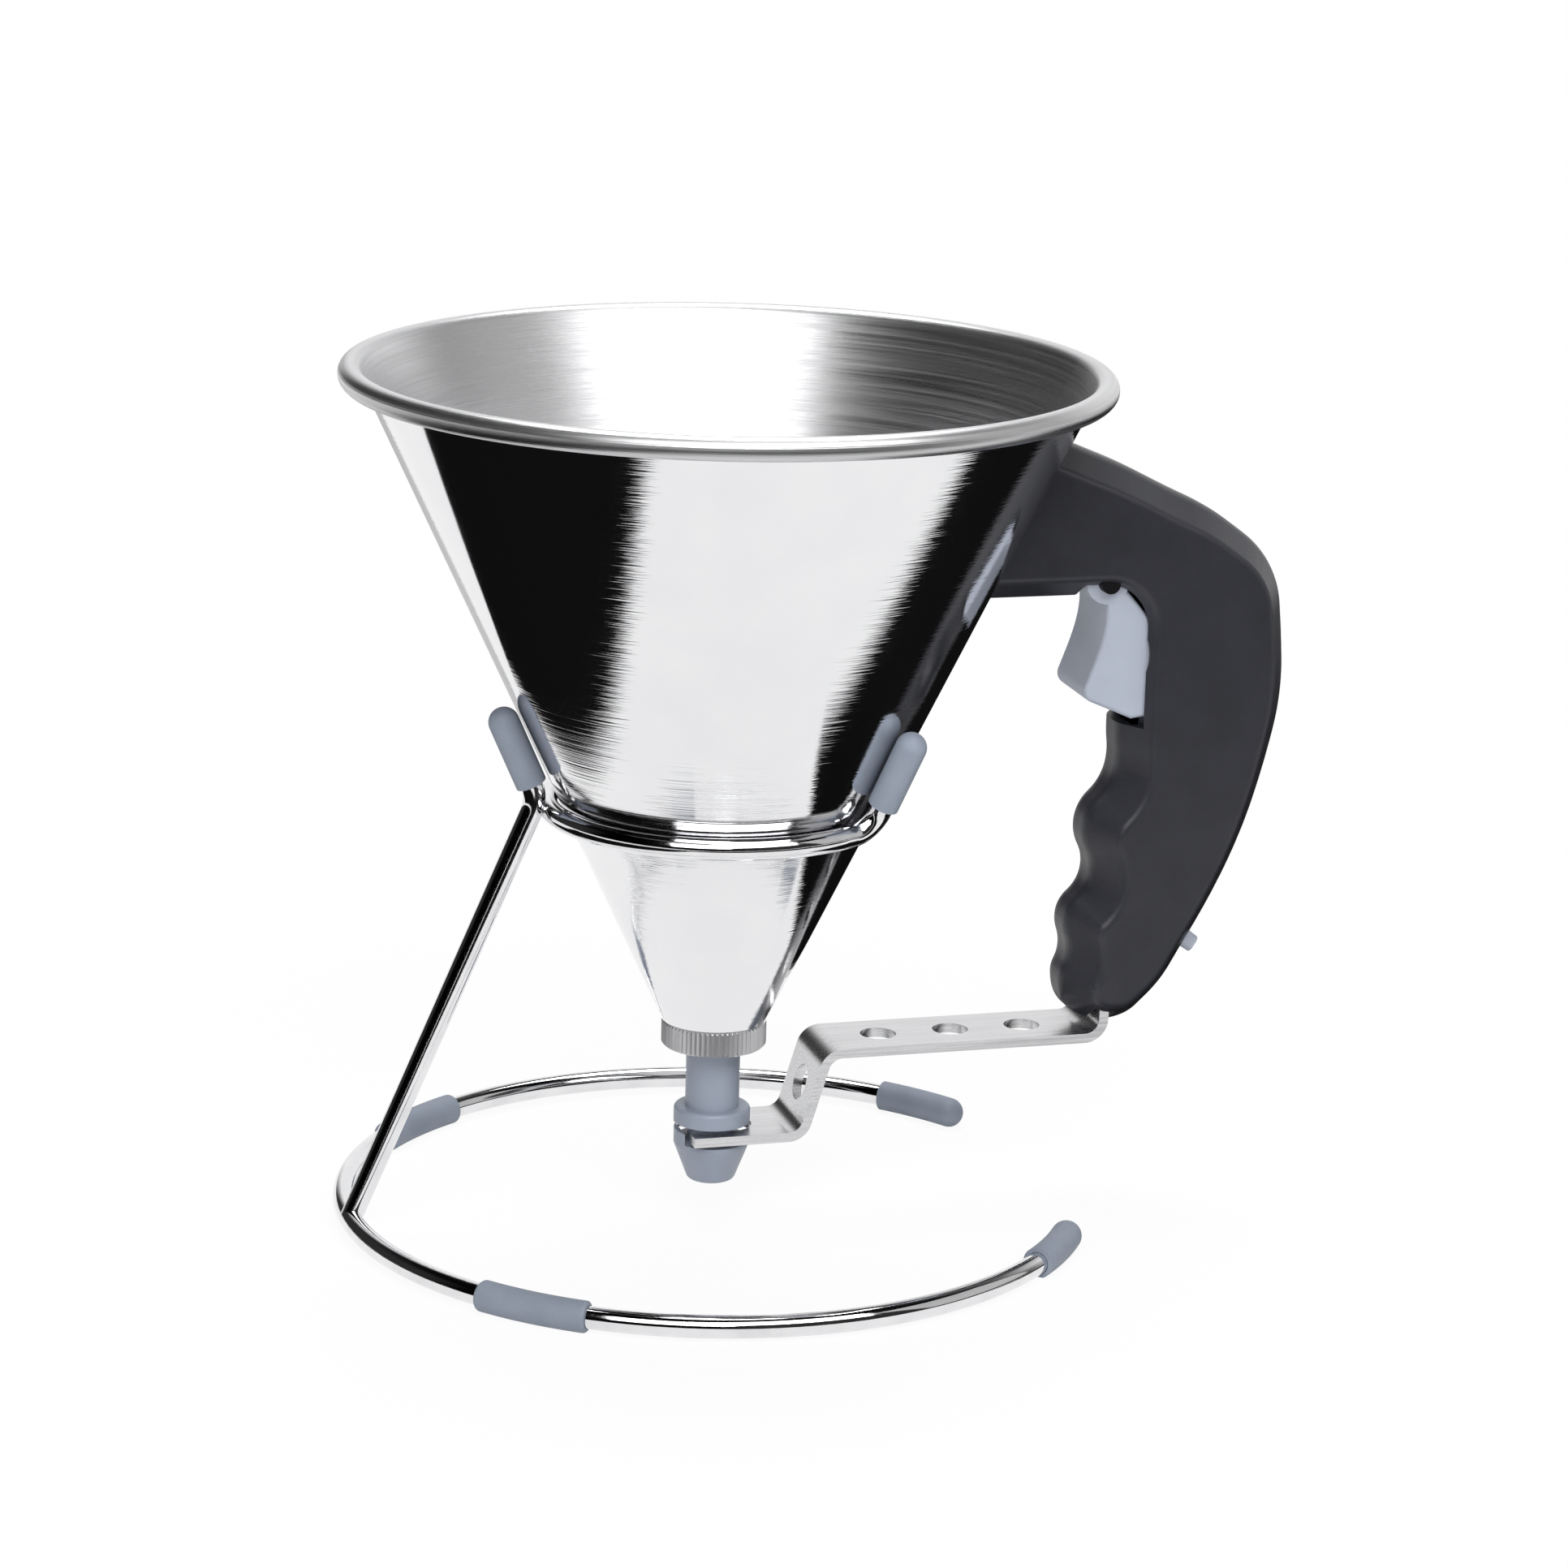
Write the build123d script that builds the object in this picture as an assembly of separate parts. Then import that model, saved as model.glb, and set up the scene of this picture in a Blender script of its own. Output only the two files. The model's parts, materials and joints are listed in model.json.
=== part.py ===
from build123d import *
import os
from math import acos, cos, degrees, radians, sin, sqrt, tan

# A steel confectionery funnel with a squeeze handle, standing in its wire stand.
# Millimetres. The cone's axis is modelled on Z and the handle points to +X.
# The table is z = 0. At the end everything moves together, so that the origin
# is the middle of the base of the whole object's box.

FULL_TURN = 360.0

# Stand
WIRE_R = 2.25
RUBBER_R = 3.15
RUBBER_FIT = 0.05
FOOT_FLAT = 0.3
BASE_R = 75.2
BASE_GAP_HALF = 31.4
BASE_CAP_LEN = 17.5
SLEEVE_LEN = 23.6
SLEEVE_AT = 132.0
SLEEVE_ROUND = 0.7
CRADLE_Z = 86.3
CRADLE_HORN_AT = 48.5
CRADLE_BEND_R = 6.0
HORN_TOP_Z = 105.0
TIP_CAP_LEN = 14.0
SEAT_CLEAR = 0.3
LEG_BEND_R = 7.0
LEG_BEND_UP = 2.9
LEG_LAP = 1.75

# Cone
HALF_ANGLE = 25.14
CONE_END_Z = 41.0
CONE_END_R = 10.77
SHEET = 0.8
RIM_R = 77.0
BEAD_R = 2.35
CURL_SWEEP = 290.0
CURL_START = 180.0 - HALF_ANGLE
ABOVE_RIM_Z = CONE_END_Z + 2 * RIM_R

# Outlet and valve
RUN_CLEAR = 0.06
PRESS_CLEAR = 0.05
FACE_CLEAR = 0.1
ROD_R = 5.53
SPIGOT_R = 8.7
SPIGOT_LOW_Z = 37.5
SPIGOT_FLANGE = 4.0
SEAT_Z = 43.0
SEAT_R = 8.2
BUSH_WALL = 1.0
SEAL_T = 0.9
SEAL_R = 8.4
NUT_R = 10.74
NUT_LIP = 1.0
NUT_TOP_GAP = 0.2
KNURL_TEETH = 64
KNURL_DEPTH = 0.45
NUT_CHAMFER = 0.5
TIP_Z = 6.4
TIP_R = 4.77
TIP_ROUND = 1.2
TIP_BAND_Z = 14.2
TIP_BAND_R = 7.76
NECK_R = 5.0
POCKET_Z = 14.9
LIP_Z = 17.3
LIP_T = 1.1
FLANGE_Z = 18.9
FLANGE_T = 3.3
FLANGE_R = 7.85
FLANGE_ROUND = 0.8
OUTLET_R = 3.2
OUTLET_TOP_Z = 38.0
STEM_R = 2.9
PORT_W = 3.6
PORT_H = 3.6
HEAD_R = 7.6
HEAD_T = 2.6
HEAD_ROUND = 1.8
VALVE_SEAL_T = 1.0

# Lever
STRIP_T = 2.0
STRIP_W = 17.4
FORK_MID_Z = 16.9
FORK_TIP_X = -5.8
FORK_SLOT = 10.7
FORK_ROOT_X = 8.25
FORK_BEND_X = 17.0
UPPER_BEND_X = 22.2
UPPER_MID_Z = 34.2
TONGUE_X = 81.4
TONGUE_TOP_Z = 54.0
STRIP_BEND_R = 4.0
HOLE_R = 3.75
HOLE_X = 35.2
HOLE_PITCH = 15.6
HOLE_COUNT = 3
LEVER_PIVOT_X = 85.6
LEVER_PIVOT_Z = 47.0
LEVER_PIN_R = 1.5
HUB_R = 3.1
CRANK_BLOCK_HALF = 8.0
CRANK_BLOCK_BACK_X = 87.0
CRANK_BLOCK_LOW_Z = 43.9
ARM_HALF = 4.0
ARM_T = 4.0
ARM_FOOT_X = 86.0
ARM_FOOT_Z = 52.0
ARM_TOP_X = 94.2
ARM_TOP_Z = 109.0
RIVET_R = 1.6
RIVET_SPREAD = 9.0
RIVET_Z = 51.0
RIVET_DEPTH = 4.0

# Handle
HANDLE_HALF = 12.0
HANDLE_WALL = 2.4
BEVEL_IN = 5.0
BEVEL_DEEP = 8.5
SIDE_ROUND = 2.0
FRONT_ROUND = 6.0
WIDE_WALL = 4.8
SPINE_HALF = 5.5
HANDLE_GAP = 0.4
SIDE_CLEAR = 0.6
ARM_ROOT_X = 45.0
ARM_UNDER_Z = 127.2
FRONT_X = 83.2
FRONT_TOP_Z = 98.5
THROAT_R = 6.0
NOTCH_X = 75.9
NOTCH_Z = 115.6
NOTCH_R = 11.4
NOTCH_LOW_Z = 101.0
NOTCH_LOW_ANGLE = -40.0
MOUTH_LOW_Z = 100.2
MOUTH_DEEP = 8.0
STRIP_SLOT_HALF = 2.3
STRIP_SLOT_TOP_Z = 43.0
HANDLE_FREE_X = 58.0
PIN_SEAT = 1.4
BOSS_R = 3.6
SCREW_R = 1.5
SCREW_HEAD_R = 2.8
SCREW_HEAD_T = 1.8
SCREW_SINK = 0.8
SCREW_TIP = 7.5
SCREW_SPOTS = [(103.0, 130.0), (108.5, 98.0), (98.5, 66.5)]
PAD_T = 1.2
PAD_HALF = 7.0
PAD_BELOW_RIM = 17.0
PAD_H = 24.0
TONGUE_HALF = 1.5
TONGUE_REACH = 11.0
TONGUE_EDGE = 3.5
BRACKET_SCREW_BACK = 4.6
BRACKET_SCREW_EDGE = 3.8

# The grip's outline seen from the side, (x, z) points from the arm's top round to the front
ARM_TOP = [(59.0, 163.6), (72.0, 158.2), (83.3, 153.4), (90.3, 149.9)]
ARM_TOP_DIRECTION = (0.9, -0.43)
GRIP_BACK = [(104.5, 142.4), (113.8, 134.4), (118.8, 113.2), (114.0, 82.8), (101.6, 54.9)]
GRIP_FOOT = [(92.4, 41.2), (87.6, 37.4), (79.4, 37.0), (74.8, 40.0)]
GRIP_FRONT = [(73.2, 45.3), (74.6, 51.2), (73.7, 58.2), (78.8, 67.9), (76.9, 77.8), (83.4, 90.9)]

# Trigger
TRIGGER_PIVOT_X = 78.0
TRIGGER_PIVOT_Z = 131.0
TRIGGER_PIN_R = 2.0
TRIGGER_HUB_R = 4.5
TRIGGER_FRONT = [(77.8, 127.6), (77.8, 121.0), (76.4, 115.6), (74.2, 109.6)]
TRIGGER_TIP = [(74.1, 107.6), (75.5, 106.1)]
TRIGGER_HEEL = (84.4, 102.2)
TRIGGER_BACK_X = 92.8
TRIGGER_BACK_Z = 117.0
TRIGGER_SHOULDER = (82.5, 129.0)
NOSE_LOW_Z = 103.0
NOSE_OVER = 1.5
NOSE_STEP = 1.0
TRIGGER_ROUND = 1.0
TOUCH_CLEAR = 0.3

# Springs
SPRING_Z = 80.0
SPRING_R = 3.4
SPRING_WIRE_R = 0.6
SPRING_TURNS = 5
SPRING_SEAT_X = 110.0
SPRING_SEAT_HALF = 4.6
SPRING_PEG_R = 2.0
SPRING_PEG_LEN = 3.0
BUTTON_SPRING_R = 1.9
BUTTON_SPRING_WIRE_R = 0.3
BUTTON_SPRING_TURNS = 4

# Release button at the back of the grip
BUTTON_X = 100.7
BUTTON_Z = 52.7
BUTTON_SLOPE = 33.3
BUTTON_W = 8.0
BUTTON_H = 3.6
BUTTON_ROUND = 1.2
BUTTON_PROUD = 2.0
BUTTON_HOLE_CLEAR = 0.3
BUTTON_FLANGE_W = 10.0
BUTTON_FLANGE_H = 6.4
BUTTON_FLANGE_T = 1.4
BUTTON_FLANGE_GAP = 0.5
BUTTON_PEG_R = 1.2
BUTTON_PEG_LEN = 2.2
BUTTON_RIB_AT = 8.6
BUTTON_RIB_T = 2.0
BUTTON_RIB_HALF = 3.5


# Places that follow from the sizes above

RIM_Z = CONE_END_Z + (RIM_R - 2 * BEAD_R - CONE_END_R) / tan(radians(HALF_ANGLE))
PAD_TOP_Z = RIM_Z - PAD_BELOW_RIM
PAD_LOW_Z = PAD_TOP_Z - PAD_H
TONGUE_HIGH_Z = PAD_TOP_Z - TONGUE_EDGE
TONGUE_LOW_Z = PAD_LOW_Z + TONGUE_EDGE


# Shared forms

def cone_r(z, clearance=0.0):
    """Outside radius of the cone at a height, pushed out square to its wall."""
    slope = tan(radians(HALF_ANGLE))
    return CONE_END_R + (z - CONE_END_Z) * slope + clearance / cos(radians(HALF_ANGLE))


TONGUE_REACH_X = cone_r(TONGUE_HIGH_Z) + TONGUE_REACH
BRACKET_SPOTS = [
    (TONGUE_REACH_X - BRACKET_SCREW_BACK, TONGUE_HIGH_Z - BRACKET_SCREW_EDGE),
    (TONGUE_REACH_X - BRACKET_SCREW_BACK, TONGUE_LOW_Z + BRACKET_SCREW_EDGE)]


def turned(*points):
    return revolve(Plane.XZ * make_face(Polyline(*points, close=True)), Axis.Z)


def cone_core(clearance, low_z, high_z):
    """A solid frustum that follows the cone's outside at a clearance."""
    return turned((0, low_z), (cone_r(low_z, clearance), low_z),
                  (cone_r(high_z, clearance), high_z), (0, high_z))


def plate(half, *edges):
    return extrude(Plane.XZ * make_face(edges), amount=half, both=True)


def polygon_plate(half, *points):
    return plate(half, *Polyline(*points, close=True).edges())


def block(x0, x1, half, z0, z1):
    return Pos((x0 + x1) / 2, 0, (z0 + z1) / 2) * Box(x1 - x0, 2 * half, z1 - z0)


def cross_rod(x, z, radius, y0, y1):
    """A round bar along Y."""
    bar = Cylinder(radius, y1 - y0)
    return Pos(x, (y0 + y1) / 2, z) * Rot(90, 0, 0) * bar


def long_rod(x0, x1, y, z, radius):
    """A round bar along X."""
    return Pos((x0 + x1) / 2, y, z) * Rot(0, 90, 0) * Cylinder(radius, x1 - x0)


def smooth_arcs(points, start, end):
    """A smooth line of tangent arcs through points, two arcs to a span."""
    spots = [Vector(*point) for point in points]
    tangents = [Vector(*start).normalized()]
    for before, here, after in zip(spots, spots[1:], spots[2:]):
        came = here - before
        goes = after - here
        mean = came * (goes.length / came.length) + goes * (came.length / goes.length)
        tangents.append(mean.normalized())
    tangents.append(Vector(*end).normalized())
    arcs = []
    for here, after, leave, arrive in zip(spots, spots[1:], tangents, tangents[1:]):
        span = after - here
        ahead = span.dot(leave + arrive)
        turn = 2 * (1 - leave.dot(arrive))
        reach = (sqrt(ahead * ahead + turn * span.dot(span)) - ahead) / turn
        middle = (here + leave * reach + after - arrive * reach) * 0.5
        arcs.append(TangentArc(here, middle, tangent=leave))
        arcs.append(TangentArc(middle, after, tangent=arcs[-1] % 1))
    return arcs


def wire_along(path, radius=WIRE_R):
    section = Plane(origin=path @ 0, z_dir=path % 0) * Circle(radius)
    return sweep(section, path=path)


def ring_piece(radius, section_r, z, start, sweep_angle):
    """Part of a round ring about Z, from a start angle in degrees."""
    section = Plane.XZ * (Pos(radius, z) * Circle(section_r))
    return Rot(0, 0, start) * revolve(section, Axis.Z, revolution_arc=sweep_angle)


def mirrored(shape):
    return mirror(shape, about=Plane.XZ)


def coil(start, length, mean_r, wire_r, turns, frame):
    """A round-wire coil along a frame's normal, in quarter-turn arcs."""
    pitch = length / turns

    def at(turn):
        angle = FULL_TURN * turn
        flat = (mean_r * cos(radians(angle)), mean_r * sin(radians(angle)))
        return frame.from_local_coords(Vector(*flat, start + pitch * turn))

    quarters = range(4 * turns)
    arcs = [ThreePointArc(at(q / 4), at((q + 0.5) / 4), at((q + 1) / 4)) for q in quarters]
    return wire_along(Wire(arcs), wire_r)


# Stand

BASE_Z = RUBBER_R - FOOT_FLAT
CRADLE_R = cone_r(CRADLE_Z, WIRE_R + SEAT_CLEAR)
BELOW_TABLE = block(-2 * BASE_R, 2 * BASE_R, 2 * BASE_R, -2 * RUBBER_R, 0)


def base_ring():
    return ring_piece(BASE_R, WIRE_R, BASE_Z, BASE_GAP_HALF, FULL_TURN - 2 * BASE_GAP_HALF)


def base_sleeve():
    """Rubber sleeve on the back of the ring, on the +Y side, with a flat underside."""
    turn = degrees(SLEEVE_LEN / BASE_R)
    sleeve = ring_piece(BASE_R, RUBBER_R, BASE_Z, SLEEVE_AT - turn / 2, turn)
    sleeve = fillet(sleeve.edges().filter_by(GeomType.CIRCLE), SLEEVE_ROUND)
    bore = ring_piece(BASE_R, WIRE_R + RUBBER_FIT, BASE_Z, SLEEVE_AT - turn, 2 * turn)
    return sleeve - bore - BELOW_TABLE


def base_cap():
    """Rubber cap with a round end on the +Y end of the ring, with a flat underside."""
    turn = degrees(BASE_CAP_LEN / BASE_R)
    end = (BASE_R * cos(radians(BASE_GAP_HALF)), BASE_R * sin(radians(BASE_GAP_HALF)))
    cap = ring_piece(BASE_R, RUBBER_R, BASE_Z, BASE_GAP_HALF, turn) + Pos(*end, BASE_Z) * Sphere(RUBBER_R)
    bore = ring_piece(BASE_R, WIRE_R + RUBBER_FIT, BASE_Z, BASE_GAP_HALF, 2 * turn)
    return cap - bore - BELOW_TABLE


def horn_path():
    """From the +Y end of the cradle ring outwards and then up along the cone."""
    horn_r = cone_r(CRADLE_Z, RUBBER_R + SEAT_CLEAR)
    lead = degrees(acos(CRADLE_R / horn_r))
    ring_end = radians(CRADLE_HORN_AT + lead)
    side = radians(CRADLE_HORN_AT)
    top_r = cone_r(HORN_TOP_Z, RUBBER_R + SEAT_CLEAR)
    return FilletPolyline(
        (CRADLE_R * cos(ring_end), CRADLE_R * sin(ring_end), CRADLE_Z),
        (horn_r * cos(side), horn_r * sin(side), CRADLE_Z),
        (top_r * cos(side), top_r * sin(side), HORN_TOP_Z),
        radius=CRADLE_BEND_R)


def cradle_ring():
    horn = wire_along(horn_path())
    ends = degrees(acos(CRADLE_R / cone_r(CRADLE_Z, RUBBER_R + SEAT_CLEAR))) + CRADLE_HORN_AT
    ring = ring_piece(CRADLE_R, WIRE_R, CRADLE_Z, ends, FULL_TURN - 2 * ends)
    return ring + horn + mirrored(horn)


def leg_path():
    """Up from the base ring, past the cradle ring and then along the cone."""
    top = (-cone_r(HORN_TOP_Z, RUBBER_R + SEAT_CLEAR), 0, HORN_TOP_Z)
    bend = (-(CRADLE_R + 2 * WIRE_R - LEG_LAP), 0, CRADLE_Z + LEG_BEND_UP)
    return FilletPolyline((-BASE_R, 0, BASE_Z), bend, top, radius=LEG_BEND_R)


def stand_leg():
    """The leg, hollowed where it is welded to the two rings."""
    return wire_along(leg_path()) - base_ring() - cradle_ring()


def tip_cap(path):
    """Rubber cap with a round end on the upper end of a wire."""
    end = path @ 1
    along = path % 1
    back = Plane(origin=end - along * TIP_CAP_LEN, z_dir=along)
    cap = extrude(back * Circle(RUBBER_R), amount=TIP_CAP_LEN) + Pos(*end) * Sphere(RUBBER_R)
    return cap - extrude(back * Circle(WIRE_R + RUBBER_FIT), amount=TIP_CAP_LEN)


# Cone and outlet

def funnel_cone():
    """Spun sheet cone with its rim rolled outwards into a bead."""
    lean = radians(HALF_ANGLE)
    skin = -SHEET
    bead_x = RIM_R - BEAD_R
    tangent_r = bead_x - BEAD_R / cos(lean)
    bead_z = CONE_END_Z + (tangent_r - cone_r(CONE_END_Z, skin)) / tan(lean)
    centre = (bead_x, bead_z)
    outside = CenterArc(centre, BEAD_R, CURL_START, -CURL_SWEEP)
    inside = CenterArc(centre, BEAD_R - SHEET, CURL_START, -CURL_SWEEP)
    low_in = (cone_r(CONE_END_Z, skin), CONE_END_Z)
    low_out = (CONE_END_R, CONE_END_Z)
    profile = make_face([
        Line(low_in, outside @ 0), outside, Line(outside @ 1, inside @ 1),
        inside, Line(inside @ 0, low_out), Line(low_out, low_in)])
    return revolve(Plane.XZ * profile, Axis.Z)


BUSH_OUT_R = ROD_R + RUN_CLEAR + BUSH_WALL


def outlet_spigot():
    """Ferrule inside the cone's small end: valve seat above, barrel for the nut below."""
    fit = -SHEET - PRESS_CLEAR
    top_z = CONE_END_Z + SPIGOT_FLANGE
    bore_r = BUSH_OUT_R + PRESS_CLEAR
    return turned(
        (bore_r, SPIGOT_LOW_Z), (SPIGOT_R, SPIGOT_LOW_Z), (SPIGOT_R, CONE_END_Z),
        (cone_r(CONE_END_Z, fit), CONE_END_Z), (cone_r(top_z, fit), top_z),
        (SEAT_R, SEAT_Z), (bore_r, SEAT_Z))


def guide_bush():
    return turned(
        (ROD_R + RUN_CLEAR, SPIGOT_LOW_Z), (BUSH_OUT_R, SPIGOT_LOW_Z),
        (BUSH_OUT_R, SEAT_Z), (ROD_R + RUN_CLEAR, SEAT_Z))


def spigot_seal():
    low_z = SPIGOT_LOW_Z - SEAL_T
    return turned(
        (ROD_R + RUN_CLEAR, low_z), (SEAL_R, low_z),
        (SEAL_R, SPIGOT_LOW_Z), (ROD_R + RUN_CLEAR, SPIGOT_LOW_Z))


def collar_nut():
    """Knurled nut: straight teeth outside, barrel bore above and a lip round the rod."""
    lip_z = SPIGOT_LOW_Z - SEAL_T - FACE_CLEAR
    low_z = lip_z - NUT_LIP
    top_z = CONE_END_Z - NUT_TOP_GAP
    teeth = []
    for corner in range(2 * KNURL_TEETH):
        radius = NUT_R - KNURL_DEPTH * (corner % 2)
        angle = radians(FULL_TURN * corner / (2 * KNURL_TEETH))
        teeth.append((radius * cos(angle), radius * sin(angle)))
    knurl = extrude(Pos(0, 0, low_z) * make_face(Polyline(*teeth, close=True)), amount=top_z - low_z)
    body = turned(
        (ROD_R + RUN_CLEAR, low_z), (NUT_R - NUT_CHAMFER, low_z), (NUT_R, low_z + NUT_CHAMFER),
        (NUT_R, top_z - NUT_CHAMFER), (NUT_R - NUT_CHAMFER, top_z), (SPIGOT_R + RUN_CLEAR, top_z),
        (SPIGOT_R + RUN_CLEAR, lip_z), (ROD_R + RUN_CLEAR, lip_z))
    return knurl & body


ROD_TOP_Z = SEAT_Z + FACE_CLEAR + VALVE_SEAL_T


def nozzle():
    """Sliding outlet tube with a tapered tip, a fork groove, a flange and side ports."""
    flange_top = FLANGE_Z + FLANGE_T
    outer = turned(
        (0, TIP_Z), (TIP_R, TIP_Z), (TIP_BAND_R, TIP_BAND_Z), (TIP_BAND_R, LIP_Z), (NECK_R, LIP_Z),
        (NECK_R, FLANGE_Z), (FLANGE_R, FLANGE_Z), (FLANGE_R, flange_top), (ROD_R, flange_top),
        (ROD_R, ROD_TOP_Z), (0, ROD_TOP_Z))
    circles = outer.edges().filter_by(GeomType.CIRCLE)
    outer = fillet(circles.sort_by(Axis.Z)[0], TIP_ROUND)
    rims = outer.edges().filter_by(GeomType.CIRCLE)
    rims = rims.filter_by(lambda rim: abs(rim.radius - FLANGE_R) < 1e-6 and rim.center().Z > FLANGE_Z)
    outer = fillet(rims, FLANGE_ROUND)
    pocket = block(LIP_T - TIP_BAND_R, 2 * TIP_BAND_R, TIP_BAND_R, POCKET_Z, LIP_Z)
    pocket -= Pos(0, 0, (POCKET_Z + LIP_Z) / 2) * Cylinder(NECK_R, LIP_Z - POCKET_Z)
    outlet = Pos(0, 0, (TIP_Z + OUTLET_TOP_Z) / 2) * Cylinder(OUTLET_R, OUTLET_TOP_Z - TIP_Z)
    stem = Pos(0, 0, (OUTLET_TOP_Z + ROD_TOP_Z) / 2) * Cylinder(STEM_R, ROD_TOP_Z - OUTLET_TOP_Z)
    port_z = OUTLET_TOP_Z + PORT_H / 2
    ports = Pos(0, 0, port_z) * (Box(4 * ROD_R, PORT_W, PORT_H) + Box(PORT_W, 4 * ROD_R, PORT_H))
    return outer - pocket - outlet - stem - ports


def valve_head():
    """Round head above the seat, with a stem that plugs the top of the tube."""
    stem_low = OUTLET_TOP_Z + PORT_H
    stem_r = STEM_R - PRESS_CLEAR
    head = turned((0, stem_low), (stem_r, stem_low), (stem_r, ROD_TOP_Z), (HEAD_R, ROD_TOP_Z),
                  (HEAD_R, ROD_TOP_Z + HEAD_T), (0, ROD_TOP_Z + HEAD_T))
    return fillet(head.edges().filter_by(GeomType.CIRCLE).sort_by(Axis.Z)[-1], HEAD_ROUND)


def valve_seal():
    low_z = ROD_TOP_Z - VALVE_SEAL_T
    bore_r = ROD_R + PRESS_CLEAR
    return turned((bore_r, low_z), (HEAD_R, low_z), (HEAD_R, ROD_TOP_Z), (bore_r, ROD_TOP_Z))


# Lever

def lever_strip():
    """One steel strip: fork, slanted web, pierced flat and a tongue bent up into the grip."""
    path = Plane.XZ * FilletPolyline(
        (FORK_TIP_X, FORK_MID_Z), (FORK_BEND_X, FORK_MID_Z), (UPPER_BEND_X, UPPER_MID_Z),
        (TONGUE_X, UPPER_MID_Z), (TONGUE_X, TONGUE_TOP_Z), radius=STRIP_BEND_R)
    section = Plane(origin=path @ 0, x_dir=(0, 1, 0), z_dir=path % 0) * Rectangle(STRIP_W, STRIP_T)
    strip = sweep(section, path=path)
    slot_half = FORK_SLOT / 2
    slot_centre = FORK_ROOT_X - slot_half
    slot = block(2 * FORK_TIP_X, slot_centre, slot_half, FORK_MID_Z - STRIP_T, FORK_MID_Z + STRIP_T)
    slot += Pos(slot_centre, 0, FORK_MID_Z) * Cylinder(slot_half, 2 * STRIP_T)
    for count in range(HOLE_COUNT):
        slot += Pos(HOLE_X + count * HOLE_PITCH, 0, UPPER_MID_Z) * Cylinder(HOLE_R, 2 * STRIP_T)
    web = Vector(UPPER_BEND_X - FORK_BEND_X, 0, UPPER_MID_Z - FORK_MID_Z)
    web_middle = Vector(FORK_BEND_X, 0, FORK_MID_Z) + web * 0.5
    web_hole = Plane(origin=web_middle, z_dir=web.cross(Vector(0, 1, 0))) * Cylinder(HOLE_R, 2 * STRIP_T)
    return strip - slot - web_hole - lever_rivets(PRESS_CLEAR)


TONGUE_BACK_X = TONGUE_X + STRIP_T / 2


def lever_rivets(clearance=0.0):
    """Two flush rivets that hold the strip's tongue to the crank."""
    front_x = TONGUE_X - STRIP_T / 2
    spots = [-RIVET_SPREAD / 2, RIVET_SPREAD / 2]
    end_x = TONGUE_BACK_X + RIVET_DEPTH + clearance
    rivets = [long_rod(front_x, end_x, y, RIVET_Z, RIVET_R + clearance) for y in spots]
    return rivets[0] + rivets[1]


def arm_face_x(z, side):
    """Front (-1) or back (+1) face of the crank's upright arm at a height."""
    share = (z - ARM_FOOT_Z) / (ARM_TOP_Z - ARM_FOOT_Z)
    return ARM_FOOT_X + share * (ARM_TOP_X - ARM_FOOT_X) + side * ARM_T / 2


def lever_crank():
    """Hub on the lower pin, block behind the strip's tongue and an arm up to the trigger."""
    side = HANDLE_HALF - HANDLE_WALL - SIDE_CLEAR
    crank = block(TONGUE_BACK_X, CRANK_BLOCK_BACK_X, CRANK_BLOCK_HALF, CRANK_BLOCK_LOW_Z, TONGUE_TOP_Z)
    crank += cross_rod(LEVER_PIVOT_X, LEVER_PIVOT_Z, HUB_R, -side, side)
    crank += polygon_plate(
        ARM_HALF, (arm_face_x(ARM_FOOT_Z, -1), ARM_FOOT_Z), (arm_face_x(ARM_FOOT_Z, 1), ARM_FOOT_Z),
        (arm_face_x(ARM_TOP_Z, 1), ARM_TOP_Z), (arm_face_x(ARM_TOP_Z, -1), ARM_TOP_Z))
    peg_x = arm_face_x(SPRING_Z, 1)
    crank += long_rod(peg_x - ARM_T / 2, peg_x + SPRING_PEG_LEN, 0, SPRING_Z, SPRING_PEG_R)
    crank -= cross_rod(LEVER_PIVOT_X, LEVER_PIVOT_Z, LEVER_PIN_R + RUN_CLEAR, -2 * side, 2 * side)
    return crank - lever_rivets(PRESS_CLEAR)


# Handle

def handle_outline():
    """Side outline of the grip and its arm: back, foot and finger grooves are one curve."""
    points = ARM_TOP + GRIP_BACK + GRIP_FOOT + GRIP_FRONT + [(FRONT_X, FRONT_TOP_Z)]
    curve = smooth_arcs(points, ARM_TOP_DIRECTION, (0, 1))
    throat = CenterArc((FRONT_X - THROAT_R, ARM_UNDER_Z - THROAT_R), THROAT_R, 0, 90)
    top = curve[0] @ 0
    return curve + [
        Line(curve[-1] @ 1, throat @ 0), throat,
        Polyline(throat @ 1, (ARM_ROOT_X, ARM_UNDER_Z), (ARM_ROOT_X, top.Y), top)]


def rounded_grip(face):
    """The outline as a thick plate whose sides fall away to the front and back in a wide soft bevel."""
    whole = extrude(Plane.XZ * face, amount=HANDLE_HALF, both=True)

    def free_edges(shape, y):
        edges = shape.edges().filter_by_position(Axis.Y, y - FACE_CLEAR, y + FACE_CLEAR)
        return edges.filter_by(lambda edge: edge.center().X > HANDLE_FREE_X)

    for y in (-HANDLE_HALF, HANDLE_HALF):
        side = whole.faces().filter_by(Axis.Y).sort_by(Axis.Y)[0 if y < 0 else -1]
        whole = chamfer(free_edges(whole, y), BEVEL_IN, BEVEL_DEEP, reference=side)
    for y in (-HANDLE_HALF, HANDLE_HALF):
        whole = fillet(free_edges(whole, y), SIDE_ROUND)
    for y in (BEVEL_DEEP - HANDLE_HALF, HANDLE_HALF - BEVEL_DEEP):
        whole = fillet(free_edges(whole, y), FRONT_ROUND)
    return whole


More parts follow.
